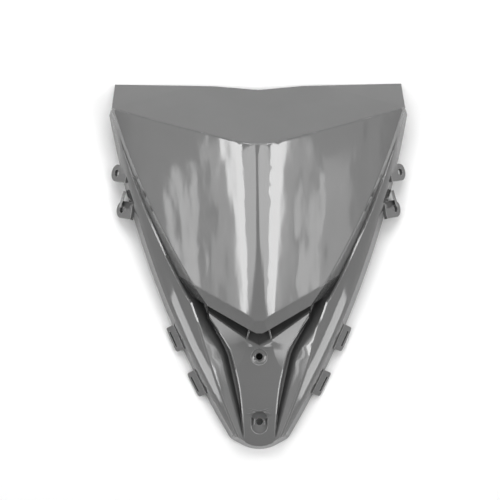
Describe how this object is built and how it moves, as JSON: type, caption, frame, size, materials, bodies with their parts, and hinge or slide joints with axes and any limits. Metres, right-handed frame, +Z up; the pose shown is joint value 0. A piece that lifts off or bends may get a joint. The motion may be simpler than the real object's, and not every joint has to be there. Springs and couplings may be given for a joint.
{
  "type": "motorcycle dash cover",
  "caption": "Arrow-shaped moulded dash cover with a keeled dome, steep brow, gilled cheeks and a screw tongue that closes a motorcycle's nose under the screen.",
  "frame": {"origin": "on the plane the shell rests on, under the middle of its overall box", "axes": "+X to the right across the cover, +Y towards the brow's rear edge, +Z up out of the dome; the tip points to -Y"},
  "size_m": [0.2682, 0.3328, 0.0859],
  "materials": {
    "shell": "smooth moulded gloss, neutral grey"
  },
  "bodies": {
    "root": {"dash_cover": "shell"}
  },
  "joints": []
}
